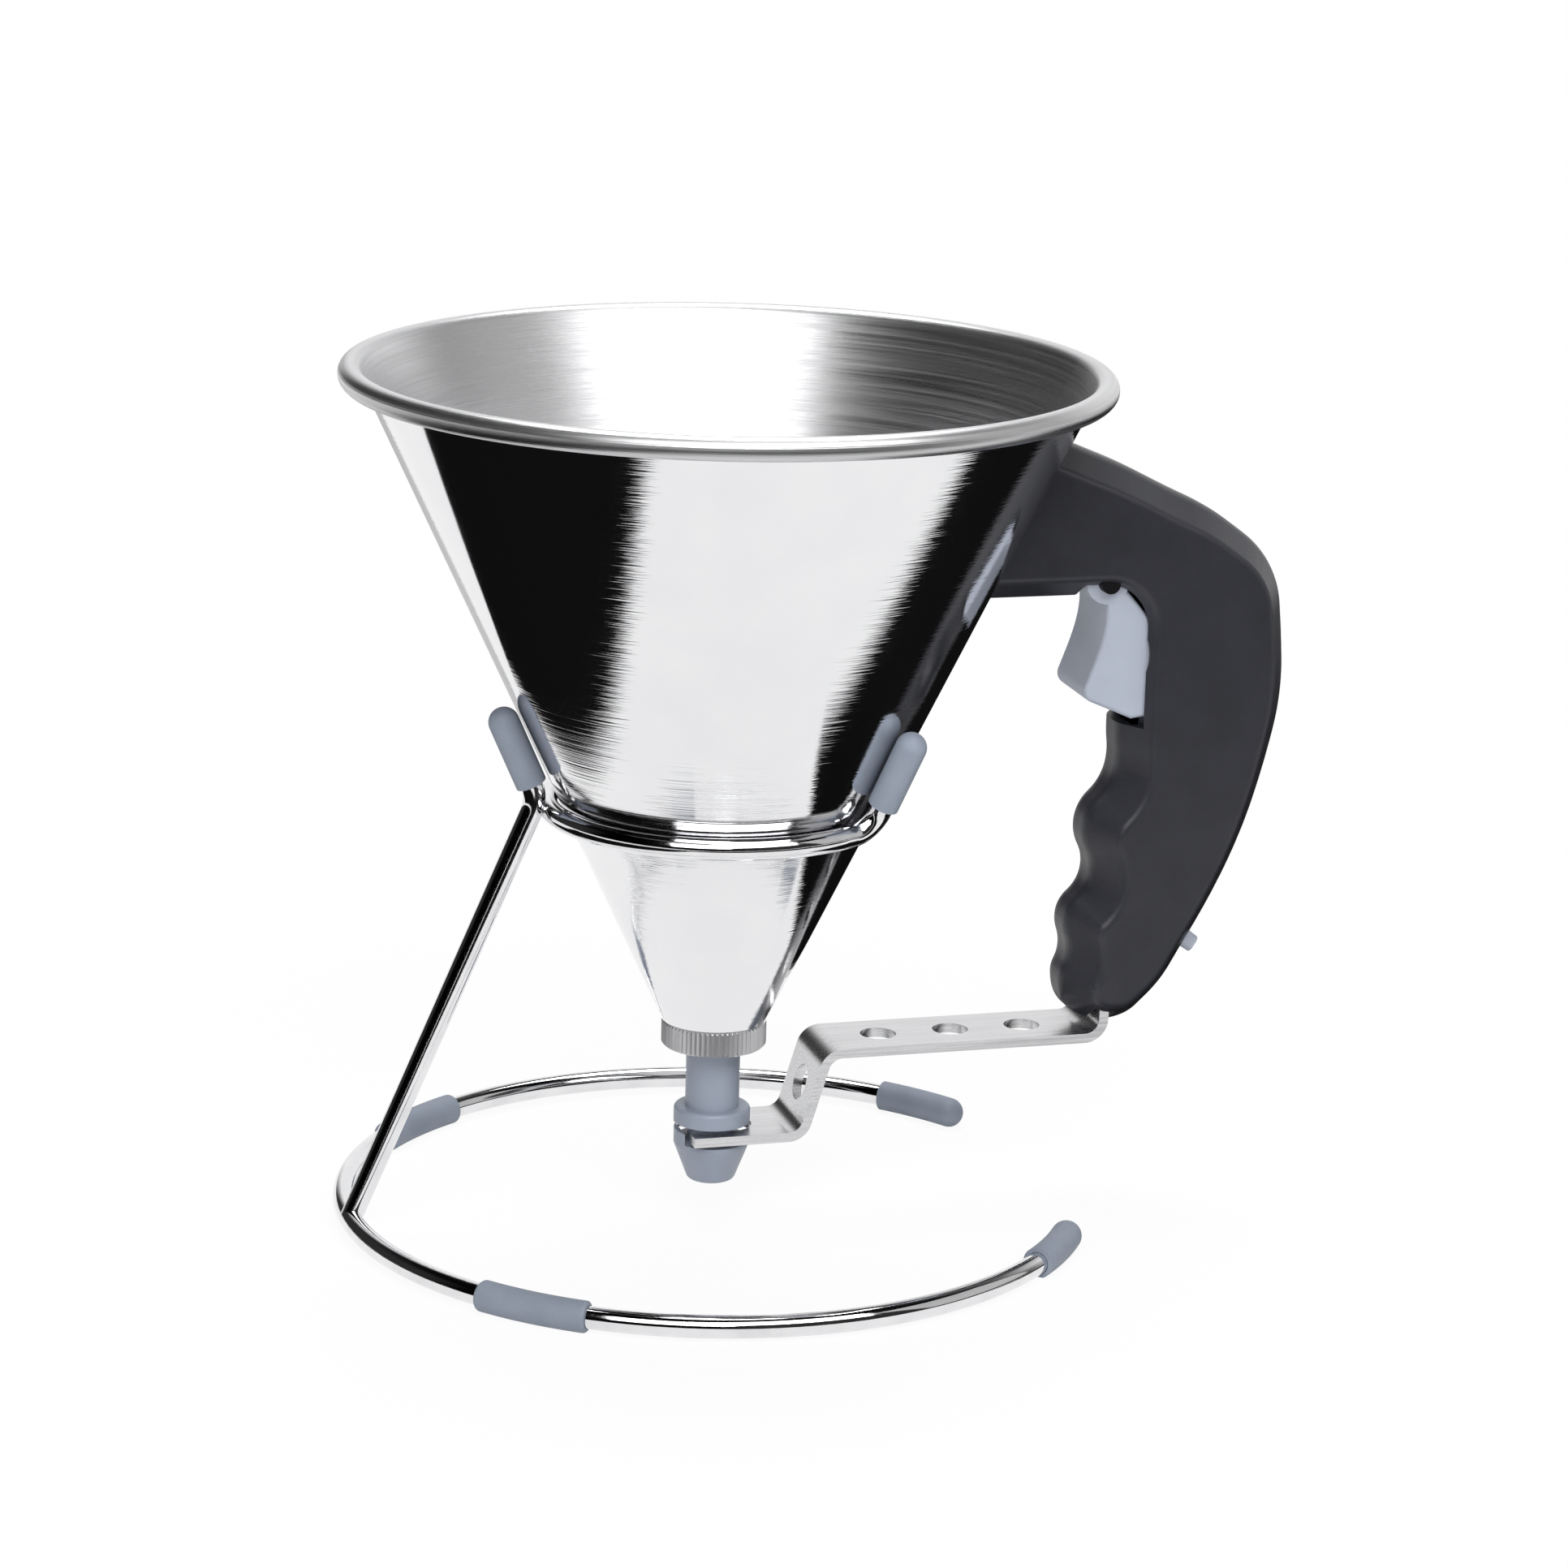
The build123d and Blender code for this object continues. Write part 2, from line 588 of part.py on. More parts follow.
def button_frame():
    """Plane on the grip's back at the button, with its normal pointing out."""
    out = Vector(cos(radians(BUTTON_SLOPE)), 0, -sin(radians(BUTTON_SLOPE)))
    return Plane(origin=(BUTTON_X, 0, BUTTON_Z), x_dir=(0, 1, 0), z_dir=out)


def along_button(low, high, sketch):
    return extrude(button_frame().offset(low) * sketch, amount=high - low)


def screw_pockets():
    """Shank holes through the bosses and head pockets on the +Y side."""
    head_y = HANDLE_HALF - SCREW_SINK - SCREW_HEAD_T
    cuts = []
    for x, z in SCREW_SPOTS + BRACKET_SPOTS:
        cuts.append(cross_rod(x, z, SCREW_R + PRESS_CLEAR, -SCREW_TIP, HANDLE_HALF))
        cuts.append(cross_rod(x, z, SCREW_HEAD_R + PRESS_CLEAR, head_y, 2 * HANDLE_HALF))
    return cuts


def handle_shells():
    """The hollow grip with its bosses, seats and openings, split on its middle plane."""
    face = make_face(handle_outline())
    whole = rounded_grip(face) - cone_core(HANDLE_GAP, CONE_END_Z, ABOVE_RIM_Z)
    inner_half = HANDLE_HALF - HANDLE_WALL
    cavity = extrude(Plane.XZ * offset(face, -WIDE_WALL), amount=inner_half, both=True)
    cavity += extrude(Plane.XZ * offset(face, -HANDLE_WALL), amount=SPINE_HALF, both=True)
    cavity -= cone_core(HANDLE_GAP + HANDLE_WALL, CONE_END_Z, ABOVE_RIM_Z)
    for x, z in SCREW_SPOTS + BRACKET_SPOTS:
        cavity -= cross_rod(x, z, BOSS_R, -HANDLE_HALF, HANDLE_HALF)
    seat_half = SPRING_SEAT_HALF
    cavity -= block(SPRING_SEAT_X, 2 * SPRING_SEAT_X, seat_half, SPRING_Z - seat_half, SPRING_Z + seat_half)
    rib = Rectangle(2 * HANDLE_HALF, 2 * BUTTON_RIB_HALF)
    cavity -= along_button(-BUTTON_RIB_AT - BUTTON_RIB_T, -BUTTON_RIB_AT, rib)
    whole -= cavity

    low_angle = radians(NOTCH_LOW_ANGLE)
    notch_corner = (NOTCH_X + NOTCH_R * cos(low_angle), NOTCH_Z + NOTCH_R * sin(low_angle))
    notch_top = NOTCH_Z + NOTCH_R
    front = NOTCH_X - 2 * NOTCH_R
    mouth_back = FRONT_X + MOUTH_DEEP
    cuts = [
        cross_rod(NOTCH_X, NOTCH_Z, NOTCH_R, -2 * HANDLE_HALF, 2 * HANDLE_HALF),
        polygon_plate(2 * HANDLE_HALF, (front, notch_top), (NOTCH_X, notch_top), notch_corner,
                      (FRONT_X, NOTCH_LOW_Z), (front, NOTCH_LOW_Z)),
        block(front, mouth_back, inner_half, MOUTH_LOW_Z, NOTCH_Z),
        block(TRIGGER_PIVOT_X - TRIGGER_HUB_R - SIDE_CLEAR, mouth_back, inner_half,
              NOTCH_Z, ARM_UNDER_Z + WIDE_WALL + SIDE_CLEAR),
        block(TONGUE_X - STRIP_SLOT_HALF, TONGUE_X + STRIP_SLOT_HALF, STRIP_W / 2 + SIDE_CLEAR,
              0, STRIP_SLOT_TOP_Z),
        cross_rod(TRIGGER_PIVOT_X, TRIGGER_PIVOT_Z, TRIGGER_PIN_R + PRESS_CLEAR,
                  -inner_half - PIN_SEAT, inner_half + PIN_SEAT),
        cross_rod(LEVER_PIVOT_X, LEVER_PIVOT_Z, LEVER_PIN_R + PRESS_CLEAR,
                  -inner_half - PIN_SEAT, inner_half + PIN_SEAT),
        along_button(-2 * HANDLE_WALL, HANDLE_HALF, button_sketch(BUTTON_HOLE_CLEAR)),
        bracket_solid(PRESS_CLEAR, FACE_CLEAR)]
    for cut in cuts + screw_pockets():
        whole -= cut
    reach = 4 * RIM_R
    left_half = Pos(0, -reach / 2, 0) * Box(2 * reach, reach, 2 * reach)
    return whole & left_half, whole - left_half


def bracket_solid(grow_pad=0.0, grow_tongue=0.0):
    """Pad on the cone with an upright tongue that reaches into the arm."""
    pad = cone_core(PAD_T + grow_pad, PAD_LOW_Z - grow_pad, PAD_TOP_Z + grow_pad)
    pad -= cone_core(0, PAD_LOW_Z - grow_pad, PAD_TOP_Z + grow_pad)
    pad &= block(0, 2 * RIM_R, PAD_HALF + grow_pad, PAD_LOW_Z - grow_pad, PAD_TOP_Z + grow_pad)
    tongue = block(0, TONGUE_REACH_X + grow_tongue, TONGUE_HALF + grow_tongue,
                   TONGUE_LOW_Z - grow_tongue, TONGUE_HIGH_Z + grow_tongue)
    return pad + (tongue - cone_core(PAD_T / 2, PAD_LOW_Z, PAD_TOP_Z))


def handle_bracket():
    bracket = bracket_solid()
    for x, z in BRACKET_SPOTS:
        bracket -= cross_rod(x, z, SCREW_R + PRESS_CLEAR, -PAD_HALF, PAD_HALF)
    return bracket


def screws(spots):
    """Flush screws with their heads on the +Y side."""
    head_y = HANDLE_HALF - SCREW_SINK - SCREW_HEAD_T
    bodies = []
    for x, z in spots:
        shank = cross_rod(x, z, SCREW_R, -SCREW_TIP, head_y)
        bodies.append(shank + cross_rod(x, z, SCREW_HEAD_R, head_y, head_y + SCREW_HEAD_T))
    return Compound(children=[body.solid() for body in bodies])


def pivot_pin(x, z, radius):
    reach = HANDLE_HALF - HANDLE_WALL + PIN_SEAT
    return cross_rod(x, z, radius, -reach, reach)


def trigger():
    """Finger trigger: concave front, nose behind that pushes the crank, hub on the upper pin."""
    half = HANDLE_HALF - HANDLE_WALL - SIDE_CLEAR
    nose_high_z = ARM_TOP_Z + NOSE_OVER
    nose_x = arm_face_x(NOSE_LOW_Z, -1) - TOUCH_CLEAR
    front = Spline(*TRIGGER_FRONT)
    tip = ThreePointArc(front @ 1, *TRIGGER_TIP)
    back = Polyline(
        tip @ 1, TRIGGER_HEEL, (nose_x, NOSE_LOW_Z), (nose_x, nose_high_z),
        (TRIGGER_BACK_X, nose_high_z + NOSE_STEP), (TRIGGER_BACK_X, TRIGGER_BACK_Z), TRIGGER_SHOULDER,
        (TRIGGER_PIVOT_X, TRIGGER_PIVOT_Z), front @ 0)
    body = plate(half, front, tip, back)
    body = fillet(body.faces().filter_by(Axis.Y).edges(), TRIGGER_ROUND)
    body += cross_rod(TRIGGER_PIVOT_X, TRIGGER_PIVOT_Z, TRIGGER_HUB_R, -half, half)
    pin_r = TRIGGER_PIN_R + RUN_CLEAR
    return body - cross_rod(TRIGGER_PIVOT_X, TRIGGER_PIVOT_Z, pin_r, -2 * half, 2 * half)


def button_sketch(clearance=0.0):
    size = 2 * clearance
    return RectangleRounded(BUTTON_W + size, BUTTON_H + size, BUTTON_ROUND + clearance)


BUTTON_FLANGE_AT = -HANDLE_WALL - BUTTON_FLANGE_GAP
BUTTON_BACK = BUTTON_FLANGE_AT - BUTTON_FLANGE_T


def release_button():
    """Push button through the grip's back, with a flange inside and a peg for its spring."""
    flange = RectangleRounded(BUTTON_FLANGE_W, BUTTON_FLANGE_H, BUTTON_ROUND)
    button = along_button(BUTTON_BACK, BUTTON_PROUD, button_sketch())
    button += along_button(BUTTON_BACK, BUTTON_FLANGE_AT, flange)
    return button + along_button(BUTTON_BACK - BUTTON_PEG_LEN, BUTTON_BACK, Circle(BUTTON_PEG_R))


def return_spring():
    """Coil between the crank's arm and its seat on the grip's back wall."""
    lean = (arm_face_x(SPRING_Z + SPRING_R, 1) - arm_face_x(SPRING_Z, 1)) * 2
    start = arm_face_x(SPRING_Z, 1) + lean + SPRING_WIRE_R
    length = SPRING_SEAT_X - SPRING_WIRE_R - TOUCH_CLEAR - start
    frame = Plane(origin=(0, 0, SPRING_Z), x_dir=(0, 1, 0), z_dir=(1, 0, 0))
    return coil(start, length, SPRING_R, SPRING_WIRE_R, SPRING_TURNS, frame)


def button_spring():
    """Small coil between the button's flange and the rib inside the grip."""
    start = -BUTTON_RIB_AT + BUTTON_SPRING_WIRE_R + FACE_CLEAR
    length = BUTTON_BACK - BUTTON_SPRING_WIRE_R - FACE_CLEAR - start
    return coil(start, length, BUTTON_SPRING_R, BUTTON_SPRING_WIRE_R, BUTTON_SPRING_TURNS, button_frame())


# Assembly

shell_left, shell_right = handle_shells()
sleeve_right = base_sleeve()
cap_right = base_cap()
horn_cap_right = tip_cap(horn_path())
nodes = {
    "base_ring": base_ring(),
    "stand_leg": stand_leg(),
    "cradle_ring": cradle_ring(),
    "base_sleeve_left": mirrored(sleeve_right),
    "base_sleeve_right": sleeve_right,
    "base_cap_left": mirrored(cap_right),
    "base_cap_right": cap_right,
    "leg_tip_cap": tip_cap(leg_path()),
    "cradle_cap_left": mirrored(horn_cap_right),
    "cradle_cap_right": horn_cap_right,
    "funnel_cone": funnel_cone(),
    "outlet_spigot": outlet_spigot(),
    "guide_bush": guide_bush(),
    "spigot_seal": spigot_seal(),
    "collar_nut": collar_nut(),
    "nozzle": nozzle(),
    "valve_head": valve_head(),
    "valve_seal": valve_seal(),
    "handle_shell_left": shell_left,
    "handle_shell_right": shell_right,
    "handle_bracket": handle_bracket(),
    "bracket_screws": screws(BRACKET_SPOTS),
    "handle_screws": screws(SCREW_SPOTS),
    "trigger": trigger(),
    "trigger_pin": pivot_pin(TRIGGER_PIVOT_X, TRIGGER_PIVOT_Z, TRIGGER_PIN_R),
    "lever_strip": lever_strip(),
    "lever_crank": lever_crank(),
    "lever_rivets": Compound(children=lever_rivets().solids()),
    "lever_pin": pivot_pin(LEVER_PIVOT_X, LEVER_PIVOT_Z, LEVER_PIN_R),
    "return_spring": return_spring(),
    "release_button": release_button(),
    "button_spring": button_spring(),
}

# Centre the origin under the box and write one file for each piece.
boxes = [shape.bounding_box() for shape in nodes.values()]
middle_x = (min(box.min.X for box in boxes) + max(box.max.X for box in boxes)) / 2
os.makedirs("parts", exist_ok=True)
for name, shape in nodes.items():
    export_step(Pos(-middle_x, 0, 0) * shape, f"parts/{name}.step")
print("cone axis at x =", round(-middle_x, 4))
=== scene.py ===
import json
from math import cos, radians, sin, tan

import bpy
from mathutils import Matrix, Vector


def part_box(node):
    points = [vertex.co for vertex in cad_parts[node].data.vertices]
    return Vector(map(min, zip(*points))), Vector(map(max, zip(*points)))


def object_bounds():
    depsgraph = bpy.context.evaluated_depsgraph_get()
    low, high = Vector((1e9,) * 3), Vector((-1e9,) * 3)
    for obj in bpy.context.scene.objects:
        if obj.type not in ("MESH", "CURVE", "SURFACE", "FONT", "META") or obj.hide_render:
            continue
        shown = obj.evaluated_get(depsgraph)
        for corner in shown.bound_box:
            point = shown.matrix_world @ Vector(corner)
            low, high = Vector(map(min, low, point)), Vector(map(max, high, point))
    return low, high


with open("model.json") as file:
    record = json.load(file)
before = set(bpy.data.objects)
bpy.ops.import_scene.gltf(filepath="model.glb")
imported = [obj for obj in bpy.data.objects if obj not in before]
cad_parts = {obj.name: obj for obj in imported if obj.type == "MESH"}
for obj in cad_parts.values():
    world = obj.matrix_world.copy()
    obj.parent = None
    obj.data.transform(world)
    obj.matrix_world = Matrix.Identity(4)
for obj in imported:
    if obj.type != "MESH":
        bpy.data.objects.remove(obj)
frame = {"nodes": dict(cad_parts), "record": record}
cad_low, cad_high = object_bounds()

# Looks of the funnel: materials, a white floor, soft light and the photograph's camera, in metres

# Camera fitted to the photograph, its place measured from the cone's axis
CAMERA_FROM_AXIS = Vector((-0.2503, -0.9087, 0.3431))
CAMERA_YAW = radians(16.19)
CAMERA_PITCH = radians(15.0)
CAMERA_ROLL = radians(1.56)
CAMERA_LENS = 111.1
CAMERA_SENSOR = 36.0

# Cone, with the sizes that tell its inside and its rim from its outside
nut_low, nut_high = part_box("collar_nut")
AXIS_X = (nut_low.x + nut_high.x) / 2
cone_low, cone_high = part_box("funnel_cone")
CONE_HALF_ANGLE = radians(25.14)
CONE_END_R = 0.01077
CONE_SHEET = 0.0008
RIM_BEAD = 0.0048

# Cone's skin: turned lines on the polished outside, brushed lines on the satin inside and the rim
FROM_AXIS = (-AXIS_X, 0.0, 0.0)
POLISH_LIGHT = (0.83, 0.83, 0.84)
POLISH_DARK = (0.805, 0.805, 0.82)
POLISH_ROUGH = (0.055, 0.07)
SATIN_LIGHT = (0.66, 0.66, 0.67)
SATIN_DARK = (0.56, 0.56, 0.57)
SATIN_ROUGH = (0.27, 0.42)
TURNED_FINE = 2600.0
TURNED_COARSE = 700.0
COARSE_SHARE = 0.5
SATIN_LINES = 5200.0
WEAR_SCALE = 90.0
SMEAR_STRETCH = (14.0, 14.0, 1500.0)
LINE_DEPTH = 0.00006
LINE_STRENGTH = 0.55

# Wire of the stand
WIRE_LIGHT = (0.82, 0.82, 0.83)
WIRE_DARK = (0.73, 0.73, 0.745)
WIRE_ROUGH = (0.05, 0.11)
WIRE_CLOUD = 160.0
WIRE_SCRATCHES = 2400.0
WIRE_DEPTH = 0.00002
WIRE_STRENGTH = 0.12

# Moulded pieces
MOULDED_CLOUD = 120.0
GRAIN_SHADE = 0.35
GRAIN_STRENGTH = 0.35

# Brushed pieces, where a small stretch along an axis makes long streaks along it
STREAK_LONG = 40.0
STREAK_FINE = 2600.0
ALONG_X = (STREAK_LONG, STREAK_FINE, STREAK_FINE)
ALONG_Z = (STREAK_FINE, STREAK_FINE, STREAK_LONG)
NO_STREAKS = (STREAK_FINE, STREAK_FINE, STREAK_FINE)
STREAK_DEPTH = 0.00002
STREAK_STRENGTH = 0.3
BRUSHED_CLOUD = 140.0
CLOUD_SHADE = 0.4

# Floor, which is wholly white to the camera beyond a distance from the middle
FLOOR_HALF = 15.0
FLOOR_LIGHT = (0.86, 0.86, 0.86)
FLOOR_DARK = (0.84, 0.84, 0.84)
FLOOR_GRAIN = 400.0
FLOOR_WHITE_NEAR = 0.92
FLOOR_WHITE_FROM = 0.10
FLOOR_WHITE_TO = 0.28

# Cards on the floor by their corners, measured from the cone's axis
LEFT_CARD = [(-0.114, -0.7), (-0.114, 0.195), (-0.25, 0.205), (-0.9, 0.36), (-0.9, -0.7)]
RIGHT_CARD = [(0.075, -0.08), (0.9, -0.02), (0.9, 0.9), (0.075, 0.9)]
FRONT_CARD = [(-0.9, -3.0), (1.5, -3.0), (1.5, -0.27), (-0.9, -0.27)]
BACK_CARD = [(0.075, 0.24), (0.075, 0.9), (-0.115, 0.9), (-0.115, 0.45), (-0.085, 0.24)]
CARD_LIFT = 0.0004
CARD_BLACK = 0.004
CARD_MIDDLE = 0.45
CARD_UNEVEN = 1.2
CARD_CLOUD = 30.0

# Lamps face the middle of the object
LAMP_TARGET = Vector((0.0, 0.0, (cad_low.z + cad_high.z) / 2))

# World, with the directions between which it turns from dark to white or back
WHITE = (1.0, 1.0, 1.0, 1.0)
WORLD_DARK = 0.03
WORLD_TOP = 0.06
WORLD_TURN_X = (-0.25, 0.05)
WORLD_TURN_Y = (0.0, 0.45)
WORLD_TURN_Z = (0.40, 0.75)

# Usual range of a noise, and the range of a share
NOISE_RANGE = (0.3, 0.7)
FULL_RANGE = (0.0, 1.0)

# Places of a mix node's colour sockets, which share their names with other sockets
MIX_FIRST = 6
MIX_SECOND = 7
MIX_RESULT = 2


class Tree:
    """Short calls to add and join the nodes of one material or world."""

    def __init__(self, owner, output="OutputMaterial"):
        owner.use_nodes = True
        self.owner = owner
        self.tree = owner.node_tree
        self.tree.nodes.clear()
        self.output = self.add(output)

    def put(self, socket, value):
        """Joins an input to another socket, or sets it to a value."""
        if isinstance(value, bpy.types.NodeSocket):
            self.tree.links.new(value, socket)
        else:
            socket.default_value = value

    def add(self, kind, settings=None, **inputs):
        """Adds a node. Inputs are values or sockets, named by their socket with _ for spaces."""
        node = self.tree.nodes.new("ShaderNode" + kind)
        for key, value in (settings or {}).items():
            setattr(node, key, value)
        for key, value in inputs.items():
            self.put(node.inputs[key.replace("_", " ")], value)
        return node

    def add_ordered(self, kind, settings, *inputs):
        """Adds a node whose inputs are given in their order."""
        node = self.add(kind, settings)
        for socket, value in zip(node.inputs, inputs):
            self.put(socket, value)
        return node

    def math(self, operation, *inputs):
        return self.add_ordered("Math", {"operation": operation}, *inputs).outputs[0]

    def vector(self, operation, *inputs):
        return self.add_ordered("VectorMath", {"operation": operation}, *inputs).outputs

    def place(self, scale=(1.0, 1.0, 1.0), shift=(0.0, 0.0, 0.0)):
        """The piece's own coordinates in metres, moved and then stretched."""
        coordinates = self.add("TexCoord").outputs["Object"]
        moved = self.vector("ADD", coordinates, shift)[0]
        return self.vector("MULTIPLY", moved, scale)[0]

    def noise(self, vector, scale=1.0, detail=3.0, rough=0.5):
        node = self.add("TexNoise", Vector=vector, Scale=scale, Detail=detail, Roughness=rough)
        return node.outputs["Fac"]

    def lines(self, along, scale, detail):
        """Noise along one number only, which draws lines where that number is constant."""
        node = self.add("TexNoise", {"noise_dimensions": "1D"}, W=along, Scale=scale, Detail=detail)
        return node.outputs["Fac"]

    def span(self, value, target=FULL_RANGE, source=NOISE_RANGE, shape="LINEAR"):
        """Maps a number from the source range to the target range."""
        node = self.add("MapRange", {"interpolation_type": shape}, Value=value,
                        From_Min=source[0], From_Max=source[1], To_Min=target[0], To_Max=target[1])
        return node.outputs["Result"]

    def mix(self, share, first, second):
        """A number between two numbers."""
        kept = self.math("MULTIPLY", first, self.math("SUBTRACT", 1.0, share))
        return self.math("ADD", kept, self.math("MULTIPLY", second, share))

    def blend(self, share, first, second):
        """A colour between two colours."""
        node = self.add("Mix", {"data_type": "RGBA"})
        self.put(node.inputs["Factor"], share)
        for index, colour in ((MIX_FIRST, first), (MIX_SECOND, second)):
            value = colour if isinstance(colour, bpy.types.NodeSocket) else (*colour, 1.0)
            self.put(node.inputs[index], value)
        return node.outputs[MIX_RESULT]

    def bump(self, height, depth, strength):
        return self.add("Bump", Height=height, Distance=depth, Strength=strength).outputs["Normal"]

    def finish(self, shader):
        """Ends the tree with a shader and returns the material or world."""
        self.put(self.output.inputs["Surface"], shader.outputs[0])
        return self.owner

    def surface(self, **inputs):
        """Ends a material with one principled shader."""
        return self.finish(self.add("BsdfPrincipled", **inputs))


def material_tree(name):
    return Tree(bpy.data.materials.new(name))


def cone_steel():
    """Mirror polish with turned lines on the outside, satin on the inside and on the rim's bead."""
    tree = material_tree("cone_steel")
    place = tree.place(shift=FROM_AXIS)
    x, y, z = tree.add("SeparateXYZ", Vector=place).outputs
    radius = tree.math("SQRT", tree.math("ADD", tree.math("MULTIPLY", x, x), tree.math("MULTIPLY", y, y)))
    middle_r = CONE_END_R - CONE_SHEET / 2 / cos(CONE_HALF_ANGLE)
    widening = tree.math("MULTIPLY", tree.math("SUBTRACT", z, cone_low.z), tan(CONE_HALF_ANGLE))
    inner_wall = tree.math("GREATER_THAN", tree.math("ADD", widening, middle_r), radius)
    bead = tree.math("GREATER_THAN", z, cone_high.z - RIM_BEAD)
    satin = tree.math("MAXIMUM", inner_wall, bead)

    wear = tree.noise(place, WEAR_SCALE)
    smear = tree.noise(tree.place(SMEAR_STRETCH, FROM_AXIS), detail=4.0)
    polish_colour = tree.blend(tree.span(wear), POLISH_LIGHT, POLISH_DARK)
    satin_colour = tree.blend(tree.span(smear), SATIN_LIGHT, SATIN_DARK)
    fine = tree.lines(z, TURNED_FINE, detail=3.0)
    coarse = tree.lines(z, TURNED_COARSE, detail=2.0)
    turned = tree.mix(COARSE_SHARE, fine, coarse)
    height = tree.mix(satin, turned, tree.lines(z, SATIN_LINES, detail=4.0))
    return tree.surface(
        Base_Color=tree.blend(satin, polish_colour, satin_colour),
        Metallic=1.0,
        Roughness=tree.mix(satin, tree.span(wear, POLISH_ROUGH), tree.span(smear, SATIN_ROUGH)),
        Normal=tree.bump(height, LINE_DEPTH, LINE_STRENGTH))


def chrome_wire():
    """Bright wire with small scratches."""
    tree = material_tree("chrome_wire")
    place = tree.place()
    cloud = tree.noise(place, WIRE_CLOUD)
    scratches = tree.noise(place, WIRE_SCRATCHES, detail=4.0, rough=0.6)
    return tree.surface(
        Base_Color=tree.blend(tree.span(cloud), WIRE_LIGHT, WIRE_DARK),
        Metallic=1.0,
        Roughness=tree.span(scratches, WIRE_ROUGH),
        Normal=tree.bump(scratches, WIRE_DEPTH, WIRE_STRENGTH))


def moulded(name, light, dark, rough, grain, depth):
    """A moulded rubber or plastic skin with a fine grain and slow changes of shade."""
    tree = material_tree(name)
    place = tree.place()
    cloud = tree.noise(place, MOULDED_CLOUD)
    skin = tree.noise(place, grain, detail=4.0, rough=0.6)
    colour = tree.blend(tree.span(cloud), light, dark)
    return tree.surface(
        Base_Color=tree.blend(tree.span(skin, (0.0, GRAIN_SHADE)), colour, dark),
        Roughness=tree.span(skin, rough),
        Normal=tree.bump(skin, depth, GRAIN_STRENGTH))


def brushed(name, light, dark, rough, stretch):
    """Steel with fine streaks and slow changes of shade."""
    tree = material_tree(name)
    streaks = tree.noise(tree.place(stretch), detail=5.0, rough=0.6)
    cloud = tree.noise(tree.place(), BRUSHED_CLOUD)
    colour = tree.blend(tree.span(streaks), light, dark)
    return tree.surface(
        Base_Color=tree.blend(tree.span(cloud, (0.0, CLOUD_SHADE)), colour, dark),
        Metallic=1.0,
        Roughness=tree.span(streaks, rough),
        Normal=tree.bump(streaks, STREAK_DEPTH, STREAK_STRENGTH))


# A look for every material slot of the record
LOOKS = {
    "polished_steel": cone_steel(),
    "wire": chrome_wire(),
    "rubber": moulded(
        "grey_rubber", light=(0.245, 0.278, 0.338), dark=(0.205, 0.235, 0.290),
        rough=(0.52, 0.66), grain=2600.0, depth=0.00008),
    "satin_steel": brushed(
        "satin_steel", light=(0.74, 0.74, 0.75), dark=(0.62, 0.62, 0.635),
        rough=(0.20, 0.34), stretch=ALONG_X),
    "knurled_steel": brushed(
        "knurled_steel", light=(0.62, 0.62, 0.63), dark=(0.48, 0.48, 0.49),
        rough=(0.28, 0.42), stretch=ALONG_Z),
    "spring_steel": brushed(
        "spring_steel", light=(0.50, 0.50, 0.50), dark=(0.38, 0.38, 0.38),
        rough=(0.25, 0.35), stretch=NO_STREAKS),
    "grip_plastic": moulded(
        "charcoal_grip", light=(0.0205, 0.0210, 0.0280), dark=(0.0155, 0.0160, 0.0215),
        rough=(0.34, 0.46), grain=3400.0, depth=0.00006),
    "grey_plastic": moulded(
        "blue_grey_plastic", light=(0.275, 0.308, 0.376), dark=(0.245, 0.275, 0.337),
        rough=(0.34, 0.46), grain=2200.0, depth=0.00004),
    "trigger_plastic": moulded(
        "pale_grey_plastic", light=(0.370, 0.403, 0.475), dark=(0.340, 0.371, 0.437),
        rough=(0.38, 0.50), grain=2200.0, depth=0.00004),
    "seal_rubber": moulded(
        "silicone", light=(0.58, 0.58, 0.56), dark=(0.50, 0.50, 0.48),
        rough=(0.45, 0.60), grain=2600.0, depth=0.00006),
}

# The two pins of the handle are darker than the other pieces of their slot
PINS = ("trigger_pin", "lever_pin")
PIN_LOOK = brushed(
    "blackened_steel", light=(0.030, 0.030, 0.032), dark=(0.020, 0.020, 0.022),
    rough=(0.45, 0.60), stretch=NO_STREAKS)

for subpart in frame["record"]["subparts"]:
    look = PIN_LOOK if subpart["node"] in PINS else LOOKS[subpart["material_slot"]]
    for slot in frame["nodes"][subpart["node"]].material_slots:
        slot.link = "OBJECT"
        slot.material = look


def flat_piece(name, corners, height, material):
    """A flat stage piece from its corners."""
    mesh = bpy.data.meshes.new(name)
    mesh.from_pydata([(x, y, height) for x, y in corners], [], [range(len(corners))])
    piece = bpy.data.objects.new(name, mesh)
    piece.data.materials.append(material)
    bpy.context.scene.collection.objects.link(piece)
    return piece


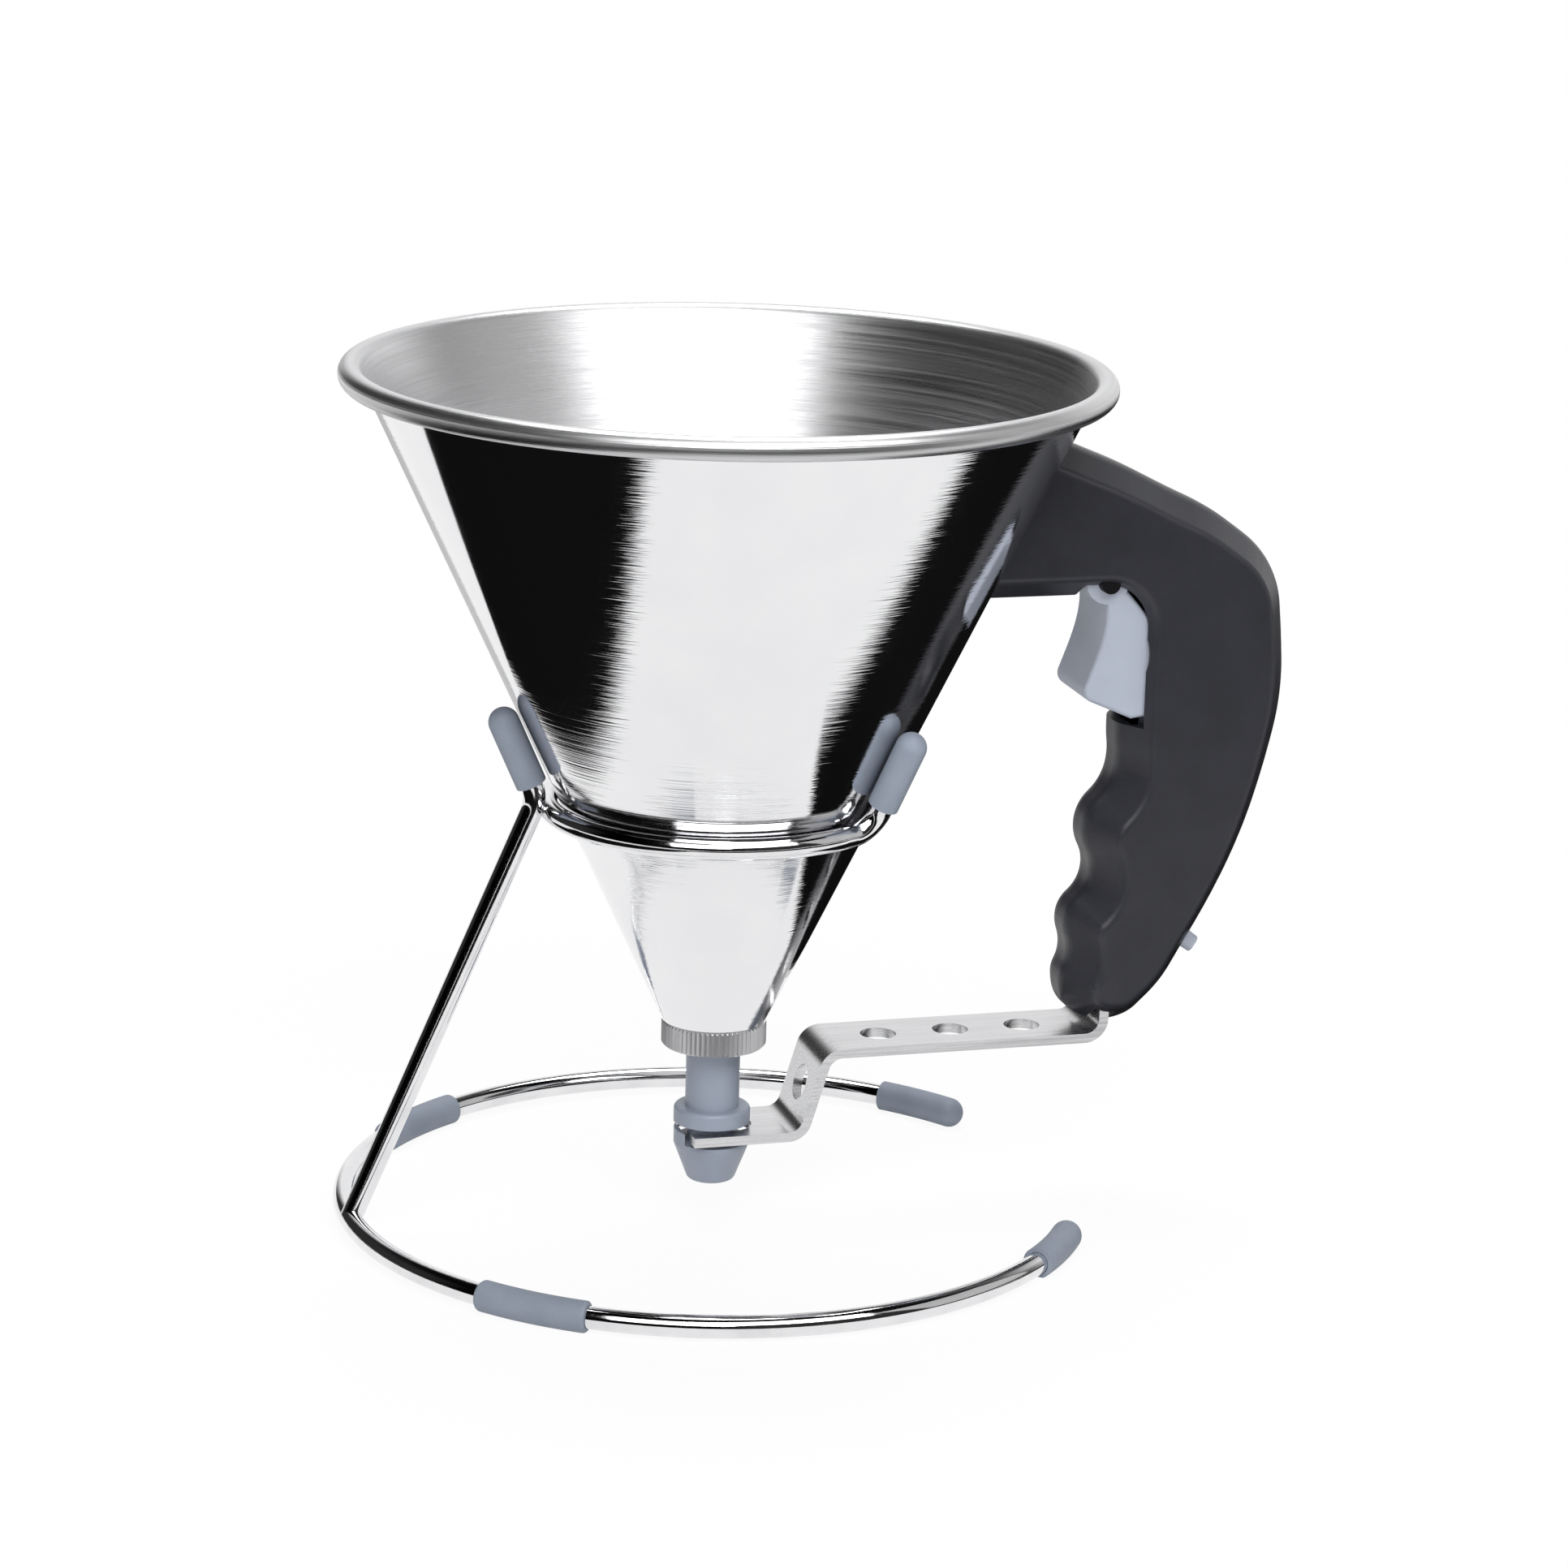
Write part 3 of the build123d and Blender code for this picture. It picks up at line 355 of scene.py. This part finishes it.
def floor_material():
    """White to the camera and in reflections, with a little of the soft shadow near the object."""
    tree = material_tree("floor_white")
    place = tree.place()
    paper = tree.noise(place, FLOOR_GRAIN)
    diffuse = tree.add("BsdfDiffuse", Color=tree.blend(tree.span(paper), FLOOR_LIGHT, FLOOR_DARK))
    white = tree.add("Emission", Strength=1.0)
    path = tree.add("LightPath").outputs
    mirrored = tree.math("MAXIMUM", path["Is Glossy Ray"], path["Is Transmission Ray"])
    seen = tree.math("MAXIMUM", path["Is Camera Ray"], mirrored)
    away = tree.vector("LENGTH", place)["Value"]
    share = tree.span(away, (FLOOR_WHITE_NEAR, 1.0), (FLOOR_WHITE_FROM, FLOOR_WHITE_TO))
    white_share = tree.math("MULTIPLY", seen, share)
    shader = tree.add_ordered("MixShader", None, white_share, diffuse.outputs[0], white.outputs[0])
    return tree.finish(shader)


def floor_card(name, grey, corners):
    """A card on the floor that only reflections show. It makes a dark or grey band in the cone."""
    tree = material_tree(name)
    colour = tree.blend(tree.noise(tree.place(), CARD_CLOUD), (grey,) * 3, (grey * CARD_UNEVEN,) * 3)
    material = tree.surface(Base_Color=colour, Roughness=1.0, Specular_IOR_Level=0.0)
    card = flat_piece(name, [(AXIS_X + x, y) for x, y in corners], CARD_LIFT, material)
    card.visible_camera = False
    card.visible_diffuse = False
    card.visible_shadow = False
    card.visible_transmission = False


flat_piece("floor", [(-FLOOR_HALF, -FLOOR_HALF), (FLOOR_HALF, -FLOOR_HALF),
                     (FLOOR_HALF, FLOOR_HALF), (-FLOOR_HALF, FLOOR_HALF)], 0.0, floor_material())
floor_card("card_left", CARD_BLACK, LEFT_CARD)
floor_card("card_right", CARD_BLACK, RIGHT_CARD)
floor_card("card_front", CARD_BLACK, FRONT_CARD)
floor_card("card_back", CARD_MIDDLE, BACK_CARD)


def lamp(name, place, size, watts, mirrored=True):
    """A soft lamp that faces the object. Reflections show it only where it is mirrored."""
    data = bpy.data.lights.new(name, "AREA")
    data.shape = "RECTANGLE"
    data.size, data.size_y = size
    data.energy = watts
    light = bpy.data.objects.new(name, data)
    light.location = place
    light.rotation_mode = "QUATERNION"
    light.rotation_quaternion = (LAMP_TARGET - Vector(place)).to_track_quat("-Z", "Y")
    light.visible_glossy = mirrored
    bpy.context.scene.collection.objects.link(light)


lamp("key_front", place=(0.25, -1.05, 1.25), size=(1.2, 0.9), watts=15.0)
lamp("key_left", place=(-0.5, -1.0, 0.98), size=(0.9, 0.9), watts=9.0)
lamp("top", place=(0.1, 0.45, 1.3), size=(0.9, 0.7), watts=13.0)
lamp("fill_right", place=(1.3, -0.45, 0.75), size=(1.2, 1.2), watts=2.4)
lamp("fill_left", place=(-0.9, -1.2, 0.28), size=(0.8, 0.5), watts=5.0, mirrored=False)


def studio_world():
    """White to the camera. As light it is white low behind the object and dark above, left and in front."""
    tree = Tree(bpy.data.worlds.new("studio"), "OutputWorld")
    x, y, z = tree.add("SeparateXYZ", Vector=tree.add("TexCoord").outputs["Generated"]).outputs
    right = tree.span(x, (WORLD_DARK, 1.0), WORLD_TURN_X, "SMOOTHSTEP")
    behind = tree.span(y, (WORLD_DARK, 1.0), WORLD_TURN_Y, "SMOOTHSTEP")
    low = tree.span(z, (1.0, WORLD_TOP), WORLD_TURN_Z, "SMOOTHSTEP")
    light = tree.math("MULTIPLY", tree.math("MULTIPLY", behind, right), low)
    seen = tree.add("LightPath").outputs["Is Camera Ray"]
    return tree.finish(tree.add("Background", Color=WHITE, Strength=tree.math("MAXIMUM", seen, light)))


def photo_camera():
    """The photograph's camera from its place, yaw, pitch, roll and lens."""
    level = cos(CAMERA_PITCH)
    forward = Vector((sin(CAMERA_YAW) * level, cos(CAMERA_YAW) * level, -sin(CAMERA_PITCH)))
    level_right = Vector((cos(CAMERA_YAW), -sin(CAMERA_YAW), 0.0))
    level_up = level_right.cross(forward)
    right = level_right * cos(CAMERA_ROLL) + level_up * sin(CAMERA_ROLL)
    up = level_up * cos(CAMERA_ROLL) - level_right * sin(CAMERA_ROLL)
    turn = Matrix((right, up, -forward)).transposed().to_4x4()
    data = bpy.data.cameras.new("photo_camera")
    data.lens = CAMERA_LENS
    data.sensor_width = CAMERA_SENSOR
    camera = bpy.data.objects.new("photo_camera", data)
    camera.matrix_world = Matrix.Translation(CAMERA_FROM_AXIS + Vector((AXIS_X, 0.0, 0.0))) @ turn
    bpy.context.scene.collection.objects.link(camera)
    return camera


bpy.context.scene.world = studio_world()
bpy.context.scene.camera = photo_camera()
bpy.context.scene.view_settings.view_transform = "Standard"
